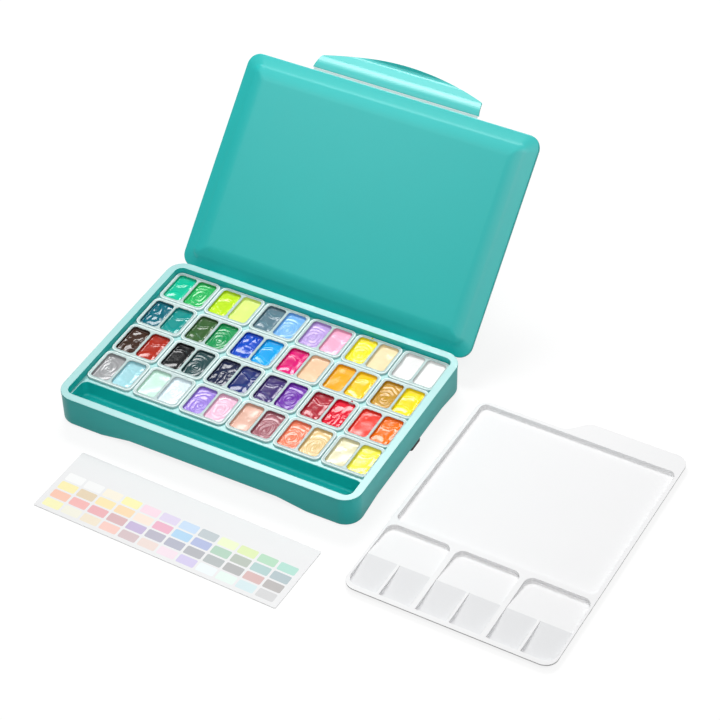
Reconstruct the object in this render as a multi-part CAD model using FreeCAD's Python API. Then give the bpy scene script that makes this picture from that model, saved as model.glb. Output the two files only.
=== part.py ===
"""Hinged gouache paint box with twin paint cups, a mixing palette and a colour card.

Frame: millimetres, +Z up, origin on the table under the middle of the base,
+X to the right, +Y towards the hinged rear edge. The lid is drawn open, the
cups are seated, and the palette and the card lie on the table beside the base.
"""
import FreeCAD
import Part
import math
import os

Vector = FreeCAD.Vector

# --- Twin cups: the case is sized around them ---------------------------------
cup_columns = 6
cup_rows = 4
cup_width = 46.3             # across the rim, along X
cup_length = 39.6            # across the rim, along Y
cup_height = 20.6
cup_gap = 1.2                # between neighbouring rims
cup_corner = 6.0
cup_rim = 3.2                # rim's outer edge to the well
cup_rim_height = 2.2         # how far the rim stands above the deck
cup_overhang = 1.7           # rim past the cup's body
cup_taper = 1.2              # inset of each side from top to bottom
cup_divider = 2.5            # between the two wells
cup_floor = 1.0
well_corner = 3.4
paint_below_rim = 2.6
paint_clearance = 0.05
cup_seat_clearance = 0.5     # cup's body in the deck's hole

# --- Case ----------------------------------------------------------------------
rim_width = 7.5
rim_thickness = 3.0
rim_overhang = 0.2           # rim past the tub's wall
case_corner = 17.0
inner_corner = 7.0
side_margin = 0.6            # cup rims to the inner wall
rear_margin = 0.6
ridge_width = 4.0            # deck between the cups and the trough
trough_width = 26.4
trough_end_margin = 2.0
trough_wall = 1.6
tub_wall = 1.8
tub_floor = 1.8
tub_draft = 0.3              # inset of the bottom outline
bottom_radius = 2.6
floor_height = 0.8           # tub's underside above the table
centre_pad_radius = 9.0      # moulded pad under the floor's middle, as low as the feet
cup_floor_gap = 3.4          # cups' undersides above the tub's floor
cup_recess = 5.4             # cup rims below the case's rim
inner_wall = 1.6
deck_thickness = 2.0
deck_rib = 1.6
trough_relief_gap = 0.6      # trough's floor above the raised front edge
deck_rib_end_gap = 12.0
lip_thickness = 1.2          # locating lip inside the tub's wall
lip_height = 2.5
lip_clearance = 0.3

# --- Raised middle of each bottom edge --------------------------------------------
long_relief_rise = 5.0       # front and rear edges
side_relief_rise = 3.4
relief_run_out = 0.2         # ramps end this far below the tub's underside
long_relief_flat = 148.0
long_relief_ramp = 31.0
side_relief_flat = 122.0
side_relief_ramp = 26.0
front_relief_reach = 14.0    # inwards from the wall, under the brush trough
cup_relief_reach = 8.0       # the same beside the cups

# --- Rubber feet -----------------------------------------------------------------
foot_length = 20.0
foot_width = 7.0
foot_corner = 2.0
foot_recess = 1.0
foot_cover = 1.2             # floor left over a side foot
foot_clearance = 0.1
side_foot_length = 17.0
side_foot_width = 5.0
side_foot_inset = 1.4        # side feet inside the rim's outline
side_foot_y = 13.5           # behind the middle of each side
corner_foot_inset = 24.0

# --- Lid, drawn shut and then swung open --------------------------------------------
open_angle = 134.3
lid_gap = 0.3                # between the shut lid and the rim
lid_corner = 12.5
lid_front_reach = 1.2        # the lid's free edge past the rim
lid_sheet = 1.6
lid_side_height = 5.0
lid_top_radius = 2.5
lid_band_width = 9.0
lid_band_rise = 2.6
pillow_step_width = 2.4
pillow_step_rise = 1.3
pillow_shoulder_width = 14.0
pillow_shoulder_rise = 2.6
pillow_corner = 9.0          # corner radius where the band meets the step
shoulder_steps = 8
pillow_least_corner = 2.0    # corner radius of the flat middle

# --- Rear hinges ---------------------------------------------------------------------
hinge_spacing = 190.0
hinge_out = 0.6              # axis behind the rim's outline
hinge_below_rim = 4.4
knuckle_radius = 3.0
knuckle_length = 24.0
lug_length = 8.0
knuckle_side_gap = 0.4
knuckle_clearance = 0.5
pin_radius = 1.3
pin_running_clearance = 0.06
pin_lug_clearance = 0.02
arm_wall_gap = 0.4
pocket_backing = 2.6

# --- Clasp ------------------------------------------------------------------------------
clasp_width = 172.0
clasp_side_height = 15.4
clasp_middle_height = 28.2
clasp_sheet = 1.6
clasp_taper = 3.6            # each end leans in by this over its height
clasp_corner = 3.0
web_width = 2.4
web_thickness = 0.6
web_end_inset = 1.5
web_clearance = 0.3
clasp_bend_radius = 17.7
clasp_bend_angle = 45.0
clasp_straight = 8.6
clasp_lip_radius = 5.0
clasp_lip_angle = 30.0
clasp_lip_length = 3.0

# --- Palette -------------------------------------------------------------------------------
palette_width = 194.0
palette_length = 271.7
palette_notch_depth = 17.4
palette_notch_end = -21.0
palette_tab_start = 9.0
palette_corner = 12.0
palette_sheet = 1.2
palette_depth = 4.2
palette_margin = 3.6
palette_front_margin = 5.0
palette_ridge = 5.5
palette_fan_margin = 2.2     # sheet left beside the outer fan wells and bays
palette_fan_length = 40.0
palette_bay_length = 37.2
palette_separator = 5.0
palette_bay_divider = 2.4
palette_crest_depth = 0.5
palette_well_corner = 6.0
palette_fan_corner = 8.0
palette_well_fillet = 1.4    # along the large well's bottom edge
palette_gap = 23.2
palette_setback = -32.0
palette_turn = -0.95

# --- Colour card ------------------------------------------------------------------------------
card_length = 244.0
card_depth = 73.8
card_thickness = 0.5
card_corner = 1.5
card_gap = 28.6
card_offset = 13.9
card_turn = -2.1

# --- Edges this close to a height or a line are taken as lying on it ----------------------------
edge_reach = 0.01

# --- Cutting tools run past the faces they open by this much --------------------------------------
overcut = 1.0

# --- Worked out from the sizes above -------------------------------------------------------------
cup_pitch_x = cup_width + cup_gap
cup_pitch_y = cup_length + cup_gap
inner_width = cup_columns * cup_pitch_x - cup_gap + 2 * side_margin
cup_block_length = cup_rows * cup_pitch_y - cup_gap
inner_depth = cup_block_length + rear_margin + ridge_width + trough_width
case_width = inner_width + 2 * rim_width
case_depth = inner_depth + 2 * rim_width
floor_top = floor_height + tub_floor
cup_top = floor_top + cup_floor_gap + cup_height
deck_top = cup_top - cup_rim_height
deck_bottom = deck_top - deck_thickness
rim_top = cup_top + cup_recess
rim_bottom = rim_top - rim_thickness
tub_width = case_width - 2 * rim_overhang
tub_depth = case_depth - 2 * rim_overhang
tub_corner = case_corner - rim_overhang
cup_block_rear = inner_depth / 2 - rear_margin
trough_rear = -inner_depth / 2 + trough_width
trough_length = inner_width - 2 * trough_end_margin
trough_under = floor_top + long_relief_rise + trough_relief_gap
hinge_y = case_depth / 2 + hinge_out
hinge_z = rim_top - hinge_below_rim
lid_depth = case_depth + lid_front_reach
lid_centre = (0.0, -lid_front_reach / 2)
lid_front_y = -case_depth / 2 - lid_front_reach
lid_edge_z = rim_top + lid_gap + lid_band_rise
lid_top_z = lid_edge_z + lid_side_height
web_z = lid_edge_z + lid_sheet / 2


def loop(width, depth, radius, z, centre=(0.0, 0.0)):
    """Closed rounded rectangle, always started at the same corner."""
    cx, cy = centre
    hx, hy = width / 2, depth / 2
    diagonal = radius * (1 - math.sqrt(0.5))
    edges = []
    corners = [(hx, -hy, 1, -1), (hx, hy, 1, 1), (-hx, hy, -1, 1), (-hx, -hy, -1, -1)]
    points = []
    for x, y, sx, sy in corners:
        on_x = Vector(cx + x - sx * radius, cy + y, z)
        on_y = Vector(cx + x, cy + y - sy * radius, z)
        middle = Vector(cx + x - sx * diagonal, cy + y - sy * diagonal, z)
        first, last = (on_x, on_y) if sx * sy < 0 else (on_y, on_x)
        points.append((first, middle, last))
    for index, (first, middle, last) in enumerate(points):
        edges.append(Part.Arc(first, middle, last).toShape())
        edges.append(Part.LineSegment(last, points[(index + 1) % 4][0]).toShape())
    return Part.Wire(edges)


def block(width, depth, radius, low, high, centre=(0.0, 0.0)):
    """Upright block with rounded corners."""
    return Part.Face(loop(width, depth, radius, low, centre)).extrude(Vector(0, 0, high - low))


def tapered(bottom, top, centre=(0.0, 0.0)):
    """Solid between two rounded rectangles, each (width, depth, radius, z)."""
    wires = [loop(*bottom, centre), loop(*top, centre)]
    return Part.makeLoft(wires, True, True)


def box(low, high):
    """Plain box between two corners."""
    size = [b - a for a, b in zip(low, high)]
    return Part.makeBox(*size, Vector(*low))


def rod(radius, start_x, length, y, z):
    """Cylinder along X."""
    return Part.makeCylinder(radius, length, Vector(start_x, y, z), Vector(1, 0, 0))


def yz_prism(points, start_x, length):
    """Polygon in the YZ plane, extruded along X."""
    corners = [Vector(start_x, y, z) for y, z in points]
    wire = Part.makePolygon(corners + corners[:1])
    return Part.Face(wire).extrude(Vector(length, 0, 0))


def cup_centre(row, column):
    """Middle of a cup: row 0 is at the rear, column 0 at the left."""
    x = (column - (cup_columns - 1) / 2) * cup_pitch_x
    y = cup_block_rear - cup_length / 2 - row * cup_pitch_y
    return x, y


def edge_relief(rise, half_size, flat, ramp, reach, growth, radius):
    """Space under a raised bottom edge, drawn at the front of a case of this half size."""
    share = (rim_bottom - rise - radius) / (rim_bottom - floor_height)
    wall = -half_size + tub_draft * share + growth
    bottom = floor_height + rise
    outside = -2 * half_size
    inner = -half_size + reach + growth
    below = -rim_top
    half = flat / 2 + growth
    inset = radius * (1 - math.sqrt(0.5))
    arc_middle = Vector(-half, wall + inset, bottom + inset)
    wall_point = Vector(-half, wall, bottom + radius)
    floor_point = Vector(-half, wall + radius, bottom)
    outline = [floor_point, Vector(-half, inner, bottom), Vector(-half, inner + rise, below),
               Vector(-half, outside, below), Vector(-half, outside, bottom + radius), wall_point]
    edges = [Part.LineSegment(a, b).toShape() for a, b in zip(outline, outline[1:])]
    edges.append(Part.Arc(wall_point, arc_middle, floor_point).toShape())
    face = Part.Face(Part.Wire(edges))
    middle = face.extrude(Vector(2 * half, 0, 0))
    ramp_end = Vector(ramp, 0, -rise - relief_run_out)
    right_face = face.copy()
    right_face.translate(Vector(2 * half, 0, 0))
    right = right_face.extrude(ramp_end)
    left = face.extrude(Vector(-ramp_end.x, 0, ramp_end.z))
    return middle.fuse([left, right])


def edge_reliefs(lift, growth, radius):
    """The four raised edges' spaces: front, right, rear and left."""
    long_edge = (long_relief_rise + lift, tub_depth / 2, long_relief_flat, long_relief_ramp)
    side_edge = (side_relief_rise + lift, tub_width / 2, side_relief_flat, side_relief_ramp)
    sizes = [(*long_edge, front_relief_reach), (*side_edge, cup_relief_reach),
             (*long_edge, cup_relief_reach), (*side_edge, cup_relief_reach)]
    spaces = []
    for quarter, size in enumerate(sizes):
        space = edge_relief(*size, growth, radius)
        space.rotate(Vector(0, 0, 0), Vector(0, 0, 1), 90 * quarter)
        spaces.append(space)
    return spaces


def hinge_centres():
    """Middles of the two hinges along X."""
    return (-hinge_spacing / 2, hinge_spacing / 2)


def hinge_half_length():
    """Half the length over a hinge's two lugs."""
    return knuckle_length / 2 + knuckle_side_gap + lug_length


def foot_places():
    """Four corner feet, then the two side feet, as (x, y, width, depth, top)."""
    x = tub_width / 2 - corner_foot_inset
    y = tub_depth / 2 - corner_foot_inset
    corner_size = (foot_length, foot_width, floor_height + foot_recess)
    places = [(sx * x, sy * y, *corner_size) for sx in (-1, 1) for sy in (-1, 1)]
    return places + side_foot_places()


def side_foot_places():
    """The two tall feet under the raised side edges."""
    x = case_width / 2 - side_foot_inset - side_foot_width / 2
    size = (side_foot_width, side_foot_length, floor_height + side_relief_rise + foot_recess)
    return [(sx * x, side_foot_y, *size) for sx in (-1, 1)]


def foot_block(place, growth, cover):
    """Foot, or the recess it sits in, from the table up to its top and a cover."""
    x, y, width, depth, top = place
    size = (width + 2 * growth, depth + 2 * growth)
    return block(*size, foot_corner + growth, 0.0, top + cover, (x, y))


def make_tub():
    """Outer case: drafted walls, rounded bottom edge, feet recesses and hinge lugs."""
    low = (tub_width - 2 * tub_draft, tub_depth - 2 * tub_draft, tub_corner - tub_draft, floor_height)
    high = (tub_width, tub_depth, tub_corner, rim_bottom)
    outer = tapered(low, high)
    bottom_edges = [e for e in outer.Edges if e.BoundBox.ZMax < floor_height + edge_reach]
    outer = outer.makeFillet(bottom_radius, bottom_edges)
    outer = outer.cut(edge_reliefs(0.0, 0.0, bottom_radius))
    trim = 2 * tub_wall
    inner_low = (low[0] - trim, low[1] - trim, low[2] - tub_wall, floor_top)
    inner_high = (high[0] - trim, high[1] - trim, high[2] - tub_wall, rim_bottom + overcut)
    cavity = tapered(inner_low, inner_high)
    inner_edges = [e for e in cavity.Edges if e.BoundBox.ZMax < floor_top + edge_reach]
    cavity = cavity.makeFillet(bottom_radius - tub_wall, inner_edges)
    cavity = cavity.cut(edge_reliefs(tub_floor, tub_wall, bottom_radius - tub_wall))
    for place in side_foot_places():
        cavity = cavity.cut(foot_block(place, tub_wall, foot_cover))
    backing_y = hinge_y - knuckle_radius - knuckle_clearance - pocket_backing
    backing_low = hinge_z - knuckle_radius - knuckle_clearance - pocket_backing
    for x in hinge_centres():
        half = hinge_half_length() + knuckle_side_gap
        cavity = cavity.cut(box((x - half, backing_y, backing_low), (x + half, case_depth, rim_top)))
    pad = Part.makeCylinder(centre_pad_radius, floor_height + tub_floor / 2)
    tub = outer.cut(cavity).fuse(pad)
    for place in foot_places():
        tub = tub.cut(foot_block(place, 0.0, 0.0))
    for x in hinge_centres():
        tub = add_hinge_lugs(tub, x)
    return tub


def add_hinge_lugs(tub, x):
    """Two lugs, the knuckle's pocket between them and the pin's bore."""
    half = knuckle_length / 2 + knuckle_side_gap
    for start in (x - half - lug_length, x + half):
        lug = rod(knuckle_radius, start, lug_length, hinge_y, hinge_z)
        foot = box((start, hinge_y - knuckle_radius, hinge_z - knuckle_radius),
                   (start + lug_length, hinge_y, rim_bottom))
        tub = tub.fuse([lug, foot])
    pocket = rod(knuckle_radius + knuckle_clearance, x - half, 2 * half, hinge_y, hinge_z)
    over = box((x - half, hinge_y - knuckle_radius - knuckle_clearance, hinge_z),
               (x + half, case_depth, rim_top))
    bore_length = 2 * (hinge_half_length() + overcut)
    bore = rod(pin_radius + pin_lug_clearance, x - bore_length / 2, bore_length, hinge_y, hinge_z)
    return tub.cut(pocket).cut(over).cut(bore)


def make_tray_rim():
    """Rim, its inner walls and the lip that locates it in the tub."""
    rim = block(case_width, case_depth, case_corner, rim_bottom, rim_top)
    wall_size = (inner_width + 2 * inner_wall, inner_depth + 2 * inner_wall, inner_corner + inner_wall)
    walls = block(*wall_size, deck_bottom, rim_bottom)
    lip_out = tub_wall + lip_clearance
    lip_size = (tub_width - 2 * lip_out, tub_depth - 2 * lip_out, tub_corner - lip_out)
    lip = block(*lip_size, rim_bottom - lip_height, rim_bottom)
    lip_in = 2 * lip_thickness
    lip = lip.cut(block(lip_size[0] - lip_in, lip_size[1] - lip_in, lip_size[2] - lip_thickness,
                        rim_bottom - lip_height, rim_bottom))
    rim = rim.fuse([walls, lip])
    rim = rim.cut(block(inner_width, inner_depth, inner_corner, deck_bottom, rim_top))
    for x in hinge_centres():
        half = hinge_half_length() + knuckle_side_gap
        reach = hinge_y - knuckle_radius - knuckle_clearance
        notch = box((x - half, reach, rim_bottom - lip_height - overcut),
                    (x + half, case_depth, hinge_z + knuckle_radius + knuckle_clearance))
        backing = box((x - half, reach - pocket_backing - lip_clearance, 0.0),
                      (x + half, case_depth, rim_bottom))
        rim = rim.cut(notch).cut(backing)
    return rim


def make_cup_deck():
    """Deck the cups hang in: rails along X, each with a rib under it, and cross bars."""
    hole_width = cup_width - 2 * (cup_overhang - cup_seat_clearance)
    hole_length = cup_length - 2 * (cup_overhang - cup_seat_clearance)
    half = inner_width / 2
    rear = inner_depth / 2
    outline = block(inner_width, inner_depth, inner_corner, deck_bottom, deck_top)
    rails = []
    bars = []
    edges_x = [-half]
    for column in range(cup_columns):
        middle = cup_centre(0, column)[0]
        edges_x += [middle - hole_width / 2, middle + hole_width / 2]
    edges_x.append(half)
    for row in range(cup_rows):
        middle = cup_centre(row, 0)[1]
        front = middle - hole_length / 2
        rails.append(box((-half, middle + hole_length / 2, deck_bottom), (half, rear, deck_top)))
        for left, right in zip(edges_x[::2], edges_x[1::2]):
            bars.append(box((left, front, deck_bottom), (right, middle + hole_length / 2, deck_top)))
        rear = front
    trough_end = trough_length / 2 + trough_wall
    trough_back = trough_rear + trough_wall
    rails.append(box((-half, trough_back, deck_bottom), (half, rear, deck_top)))
    for left, right in ((-half, -trough_end), (trough_end, half)):
        bars.append(box((left, -inner_depth / 2, deck_bottom), (right, trough_back, deck_top)))
    ribs = []
    for row in range(cup_rows - 1):
        y = cup_centre(row, 0)[1] - cup_pitch_y / 2
        end = half - deck_rib_end_gap
        ribs.append(box((-end, y - deck_rib / 2, floor_top), (end, y + deck_rib / 2, deck_bottom)))
    return Part.makeCompound([piece.common(outline) for piece in rails + bars] + ribs)


def make_brush_trough():
    """Open trough for brushes, set in the deck along the front wall: a floor and four walls."""
    end = trough_length / 2
    back = trough_rear
    front = trough_rear - trough_width
    outer_end = end + trough_wall
    outer_back = back + trough_wall
    outer_front = front - trough_wall
    floor = trough_under + trough_wall
    outline = block(inner_width, inner_depth, inner_corner, deck_bottom, deck_top)
    pieces = [box((-outer_end, outer_front, trough_under), (outer_end, outer_back, floor))]
    pieces.append(box((-end, back, floor), (end, outer_back, deck_top)))
    pieces.append(box((-end, outer_front, floor), (end, front, deck_bottom)))
    for left, right in ((-outer_end, -end), (end, outer_end)):
        pieces.append(box((left, outer_front, floor), (right, outer_back, deck_bottom)))
        pieces.append(box((left, outer_front, deck_bottom), (right, outer_back, deck_top)).common(outline))
    return Part.makeCompound(pieces)


def make_feet():
    """Two side feet and four corner feet as separate solids."""
    feet = [foot_block(place, -foot_clearance, 0.0) for place in foot_places()]
    return Part.makeCompound(feet)


def make_pins():
    """Hinge pins, one for each hinge."""
    length = 2 * hinge_half_length()
    pins = [rod(pin_radius, x - length / 2, length, hinge_y, hinge_z) for x in hinge_centres()]
    return Part.makeCompound(pins)


def make_cup(row, column):
    """Twin cup: overhanging rim and two tapered wells."""
    centre = cup_centre(row, column)
    bottom_z = cup_top - cup_height
    rim = block(cup_width, cup_length, cup_corner, deck_top, cup_top, centre)
    trim = 2 * cup_overhang
    top = (cup_width - trim, cup_length - trim, cup_corner - cup_overhang, deck_top)
    shrink = 2 * cup_taper
    bottom = (top[0] - shrink, top[1] - shrink, top[2] - cup_taper, bottom_z)
    cup = rim.fuse(tapered(bottom, top, centre))
    for side in (-1, 1):
        cup = cup.cut(well_space(centre, side, 0.0, cup_top))
    return cup


def well_size(z, clearance):
    """Width, length and corner radius of a well at a height."""
    width = (cup_width - 2 * cup_rim - cup_divider) / 2
    length = cup_length - 2 * cup_rim
    inset = cup_taper * (cup_top - z) / cup_height + clearance
    return width - 2 * inset, length - 2 * inset, well_corner - inset, z


def well_space(centre, side, clearance, top_z):
    """Tapered space of one well, from its floor up to a height."""
    offset = (cup_width - 2 * cup_rim + cup_divider) / 4
    place = (centre[0] + side * offset, centre[1])
    bottom_z = cup_top - cup_height + cup_floor
    return tapered(well_size(bottom_z + clearance, clearance), well_size(top_z, clearance), place)


def make_paint(row, column):
    """The two fillings of one twin cup."""
    centre = cup_centre(row, column)
    level = cup_top - paint_below_rim
    return Part.makeCompound([well_space(centre, side, paint_clearance, level) for side in (-1, 1)])


def pillow_sections():
    """Inset and depth of the lid panel's sections, from its edge to its flat middle."""
    sections = [(0.0, 0.0), (lid_band_width, lid_band_rise)]
    start = lid_band_width + pillow_step_width
    rise = lid_band_rise + pillow_step_rise
    for step in range(shoulder_steps + 1):
        share = step / shoulder_steps
        curve = math.sin(share * math.pi / 2)
        sections.append((start + share * pillow_shoulder_width, rise + curve * pillow_shoulder_rise))
    return sections


def panel_stack(lift):
    """Solid above the panel's lower face, moved up by a lift."""
    wires = []
    for inset, depth in pillow_sections():
        inner_radius = max(pillow_corner + lid_band_width - inset, pillow_least_corner)
        radius = inner_radius if inset else lid_corner
        size = (case_width - 2 * inset, lid_depth - 2 * inset, radius)
        wires.append(loop(*size, lid_edge_z - depth + lift, lid_centre))
    return Part.makeLoft(wires, True, True)


def swing_open(shape):
    """Turn a piece of the shut lid to the open position."""
    shape.rotate(Vector(0, hinge_y, hinge_z), Vector(1, 0, 0), -open_angle)
    return shape


def make_lid_panel():
    """Inner panel: sloped edge band, step and softly raised middle."""
    edge = block(case_width, lid_depth, lid_corner, lid_edge_z, lid_edge_z + lid_sheet, lid_centre)
    panel = panel_stack(0.0).fuse(edge)
    hollow = panel_stack(lid_sheet)
    return swing_open(panel.cut(hollow))


def make_lid_shell():
    """Outer shell: top, side walls and the two hinge arms with their knuckles."""
    low = lid_edge_z + lid_sheet
    outer = block(case_width, lid_depth, lid_corner, low, lid_top_z, lid_centre)
    top_edges = [e for e in outer.Edges if e.BoundBox.ZMin > lid_top_z - edge_reach]
    outer = outer.makeFillet(lid_top_radius, top_edges)
    trim = 2 * lid_sheet
    shell = outer.cut(block(case_width - trim, lid_depth - trim, lid_corner - lid_sheet,
                            low - overcut, lid_top_z - lid_sheet, lid_centre))
    for x in hinge_centres():
        start = x - knuckle_length / 2
        arm = box((start, case_depth / 2 + arm_wall_gap, hinge_z),
                  (start + knuckle_length, hinge_y + knuckle_radius, lid_top_z - lid_top_radius))
        bridge = box((start, case_depth / 2 - lid_sheet, low),
                     (start + knuckle_length, hinge_y + knuckle_radius, lid_top_z - lid_top_radius))
        knuckle = rod(knuckle_radius, start, knuckle_length, hinge_y, hinge_z)
        bore = rod(pin_radius + pin_running_clearance, start - overcut,
                   knuckle_length + 2 * overcut, hinge_y, hinge_z)
        shell = shell.fuse([arm, bridge, knuckle]).cut(bore)
    return swing_open(shell)


def make_web():
    """Thin flexible strip that joins the clasp to the lid's free edge."""
    half = clasp_width / 2 - web_end_inset
    front = lid_front_y - web_width + web_clearance
    low = web_z - web_thickness / 2
    strip = box((-half, front, low), (half, lid_front_y, low + web_thickness))
    return swing_open(strip)


def clasp_curve(side):
    """Clasp's section line, moved sideways: points as (distance out, height)."""
    bend = math.radians(clasp_bend_angle)
    lip = math.radians(clasp_lip_angle)
    bend_centre = (web_width, clasp_bend_radius)

    def moved(x, z, angle):
        return (x - side * math.sin(angle), z + side * math.cos(angle))

    def on_bend(angle):
        x = bend_centre[0] + clasp_bend_radius * math.sin(angle)
        z = bend_centre[1] - clasp_bend_radius * math.cos(angle)
        return x, z

    bend_end = on_bend(bend)
    straight_end = (bend_end[0] + clasp_straight * math.cos(bend),
                    bend_end[1] + clasp_straight * math.sin(bend))
    lip_centre = (straight_end[0] + clasp_lip_radius * math.sin(bend),
                  straight_end[1] - clasp_lip_radius * math.cos(bend))

    def on_lip(angle):
        x = lip_centre[0] - clasp_lip_radius * math.sin(angle)
        z = lip_centre[1] + clasp_lip_radius * math.cos(angle)
        return x, z

    lip_end = on_lip(-lip)
    tip = (lip_end[0] + clasp_lip_length * math.cos(lip), lip_end[1] - clasp_lip_length * math.sin(lip))
    lip_middle = (bend - lip) / 2
    return [moved(web_width, 0.0, 0.0), moved(*on_bend(bend / 2), bend / 2), moved(*bend_end, bend),
            moved(*straight_end, bend), moved(*on_lip(lip_middle), lip_middle),
            moved(*lip_end, -lip), moved(*tip, -lip)]


def make_clasp():
    """Curved closing flap, trimmed to its arched outline."""
    half = clasp_width / 2
    edges = []
    ends = []
    for side in (clasp_sheet / 2, -clasp_sheet / 2):
        points = [Vector(-half, lid_front_y - x, web_z + z) for x, z in clasp_curve(side)]
        start, bend_middle, bend_end, straight_end, lip_middle, lip_end, tip = points
        edges.append(Part.Arc(start, bend_middle, bend_end).toShape())
        edges.append(Part.LineSegment(bend_end, straight_end).toShape())
        edges.append(Part.Arc(straight_end, lip_middle, lip_end).toShape())
        edges.append(Part.LineSegment(lip_end, tip).toShape())
        ends.append((start, tip))
    edges.append(Part.LineSegment(ends[0][0], ends[1][0]).toShape())
    edges.append(Part.LineSegment(ends[0][1], ends[1][1]).toShape())
    section = Part.Face(Part.Wire(Part.__sortEdges__(edges)))
    sheet = section.extrude(Vector(clasp_width, 0, 0))
    return swing_open(sheet.common(clasp_outline()))


def clasp_outline():
    """Tall prism of the clasp's arched outline."""
    low = web_z - rim_top
    front = lid_front_y
    half = clasp_width / 2
    shoulder_x = half - clasp_taper
    shoulder = Vector(shoulder_x, front - clasp_side_height, low)
    crown = Vector(0, front - clasp_middle_height, low)
    other = Vector(-shoulder_x, front - clasp_side_height, low)
    edges = [Part.LineSegment(Vector(-half, front, low), Vector(half, front, low)).toShape(),
             Part.LineSegment(Vector(half, front, low), shoulder).toShape(),
             Part.Arc(shoulder, crown, other).toShape(),
             Part.LineSegment(other, Vector(-half, front, low)).toShape()]
    prism = Part.Face(Part.Wire(edges)).extrude(Vector(0, 0, 2 * rim_top))
    corners = [e for e in prism.Edges
               if e.BoundBox.ZLength > rim_top and abs(e.BoundBox.YMin - shoulder.y) < edge_reach]
    return prism.makeFillet(clasp_corner, corners)


def palette_outline(z):
    """Palette outline: a full-width sheet with a step down to the left of its tab."""
    hx, hy, r = palette_width / 2, palette_length / 2, palette_corner
    step_y = hy - palette_notch_depth
    diagonal = r * (1 - math.sqrt(0.5))

    def corner(x, y, sx, sy):
        on_x = Vector(x - sx * r, y, z)
        on_y = Vector(x, y - sy * r, z)
        middle = Vector(x - sx * diagonal, y - sy * diagonal, z)
        return (on_x, middle, on_y) if sx * sy < 0 else (on_y, middle, on_x)

    front_right = corner(hx, -hy, 1, -1)
    rear_right = corner(hx, hy, 1, 1)
    step_left = corner(-hx, step_y, -1, 1)
    front_left = corner(-hx, -hy, -1, -1)
    start = Vector(palette_tab_start, hy, z)
    end = Vector(palette_notch_end, step_y, z)
    reach = (palette_tab_start - palette_notch_end) / 2
    poles = [start, start - Vector(reach, 0, 0), end + Vector(reach, 0, 0), end]
    curve = Part.BezierCurve()
    curve.setPoles(poles)
    edges = [Part.Arc(*front_right).toShape(),
             Part.LineSegment(front_right[2], rear_right[0]).toShape(),
             Part.Arc(*rear_right).toShape(),
             Part.LineSegment(rear_right[2], start).toShape(),
             curve.toShape(),
             Part.LineSegment(end, step_left[0]).toShape(),
             Part.Arc(*step_left).toShape(),
             Part.LineSegment(step_left[2], front_left[0]).toShape(),
             Part.Arc(*front_left).toShape(),
             Part.LineSegment(front_left[2], front_right[0]).toShape()]
    return Part.Wire(edges)


def palette_layout():
    """Edges of the large well, the three fan wells and their bays."""
    rear = palette_length / 2 - palette_notch_depth - palette_margin
    front = -palette_length / 2 + palette_front_margin
    crest = front + palette_bay_length
    fan_rear = crest + palette_fan_length
    fan_right = palette_width / 2 - palette_fan_margin
    width = (2 * fan_right - 2 * palette_separator) / 3
    return rear, front, crest, fan_rear, fan_right, width


def palette_spaces(growth, top):
    """Wells as solids: grown and lowered for the underside, or plain for the wells."""
    rear, front, crest, fan_rear, fan_right, width = palette_layout()
    depth = palette_depth + growth
    large_front = fan_rear + palette_ridge
    large_width = palette_width - 2 * palette_margin
    large = block(large_width + 2 * growth, rear - large_front + 2 * growth, palette_well_corner + growth,
                  top - depth, top, (0.0, (rear + large_front) / 2))
    bottom_edges = [e for e in large.Edges if e.BoundBox.ZMax < top - depth + edge_reach]
    large = large.makeFillet(palette_well_fillet, bottom_edges)
    spaces = [large]
    crest_z = top - palette_crest_depth - growth
    bay_limit = block(2 * fan_right + 2 * growth, 2 * (crest - front + growth),
                      palette_corner - palette_fan_margin + growth, top - depth, top, (0.0, crest))
    for index in range(3):
        left = -fan_right + index * (width + palette_separator)
        section = [(fan_rear + growth, top), (fan_rear + growth, top - depth),
                   (crest, crest_z), (crest, top)]
        fan = yz_prism(section, left - growth, width + 2 * growth)
        uprights = [e for e in fan.Edges
                    if e.BoundBox.ZLength > depth - edge_reach and e.BoundBox.YLength < edge_reach]
        spaces.append(fan.makeFillet(palette_fan_corner, uprights))
        bay = (width - palette_bay_divider) / 2
        starts = (left, left + bay + palette_bay_divider) if growth == 0 else (left,)
        length = bay if growth == 0 else width
        for start in starts:
            section = [(crest, top), (crest, crest_z), (front - growth, top - depth),
                       (front - growth, top)]
            bay_space = yz_prism(section, start - growth, length + 2 * growth)
            spaces.append(bay_space.common(bay_limit))
    return spaces


def make_palette():
    """Thin mixing palette with one large well, three fan wells and six bays."""
    top = palette_depth + palette_sheet
    sheet = Part.Face(palette_outline(top - palette_sheet)).extrude(Vector(0, 0, palette_sheet))
    palette = sheet.fuse(palette_spaces(palette_sheet, top))
    palette = palette.cut(Part.makeCompound(palette_spaces(0, top)))
    return set_down(palette, palette_turn, palette_place())


def palette_place():
    """Where the palette's middle lies on the table."""
    return Vector(case_width / 2 + palette_gap + palette_width / 2, palette_setback, 0)


def make_card():
    """Printed colour card."""
    card = block(card_length, card_depth, card_corner, 0.0, card_thickness)
    place = Vector(card_offset, -case_depth / 2 - card_gap - card_depth / 2, 0)
    return set_down(card, card_turn, place)


def set_down(shape, turn, place):
    """Turn a loose piece about its middle and lay it in its place."""
    shape.rotate(Vector(0, 0, 0), Vector(0, 0, 1), turn)
    shape.translate(place)
    return shape


def save(name, shape):
    """Write one piece and say what it is."""
    if len(shape.Solids) == 1:
        shape = shape.removeSplitter()
    shape.exportStep("parts/" + name + ".step")
    print(name, len(shape.Solids), "solid(s)", round(shape.Volume / 1000, 2), "cm3")


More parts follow.
